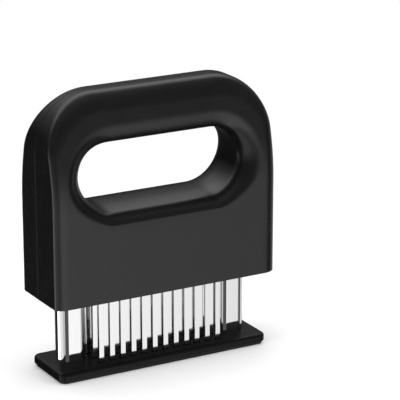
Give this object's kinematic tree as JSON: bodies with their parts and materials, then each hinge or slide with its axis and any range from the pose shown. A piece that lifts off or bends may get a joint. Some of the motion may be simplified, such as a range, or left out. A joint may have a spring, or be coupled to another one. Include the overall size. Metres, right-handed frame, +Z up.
{
  "type": "blade meat tenderizer",
  "caption": "Hand-pressed meat tenderizer: a hollow housing with a hand hole slides down two sprung oval posts and drives flat blades through a slotted base plate.",
  "frame": {"origin": "middle of the underside of the base, on the surface that it stands on", "axes": "+Z up, the way the housing rises; X along the width, with the safety lock at the +X end; the front face of the housing looks toward -Y"},
  "size_m": [0.145, 0.047, 0.167],
  "materials": {
    "shell_black": "satin, finely textured",
    "base_black": "semi-gloss",
    "cover_black": "satin",
    "inner_black": "satin",
    "lock_grey": "satin",
    "nylon": "satin",
    "post_steel": "polished",
    "blade_steel": "bright, finely brushed",
    "spring_steel": "drawn wire",
    "screw_steel": "zinc plated"
  },
  "bodies": {
    "base": {"base_plate": "base_black", "base_cover": "cover_black", "cover_screws": "screw_steel", "post_left": "post_steel", "post_right": "post_steel", "post_foot_left": "inner_black", "post_foot_right": "inner_black", "post_screws": "screw_steel", "post_collar_left": "post_steel", "post_collar_right": "post_steel", "collar_rivets": "screw_steel", "spring_left": "spring_steel", "spring_right": "spring_steel"},
    "housing": {"front_shell": "shell_black", "rear_shell": "shell_black", "shell_screws": "screw_steel", "housing_floor": "inner_black", "guide_bush_left": "nylon", "guide_bush_right": "nylon", "spring_seat_left": "nylon", "spring_seat_right": "nylon", "blade_holder": "inner_black", "blade_clamp": "inner_black", "clamp_screws": "screw_steel", "blade_row_front": "blade_steel", "blade_row_mid_front": "blade_steel", "blade_row_mid_rear": "blade_steel", "blade_row_rear": "blade_steel"},
    "lock": {"lock_slider": "lock_grey"}
  },
  "joints": [
    {"name": "press", "type": "slide", "parent": "base", "child": "housing", "axis": [0, 0, -1], "range_m": [0, 0.034], "stiffness_N_per_m": 600, "springref_m": -0.025, "deforming": ["spring_left", "spring_right"]},
    {"name": "lock_slide", "type": "slide", "parent": "housing", "child": "lock", "axis": [0, 1, 0], "range_m": [0, 0.007]}
  ]
}
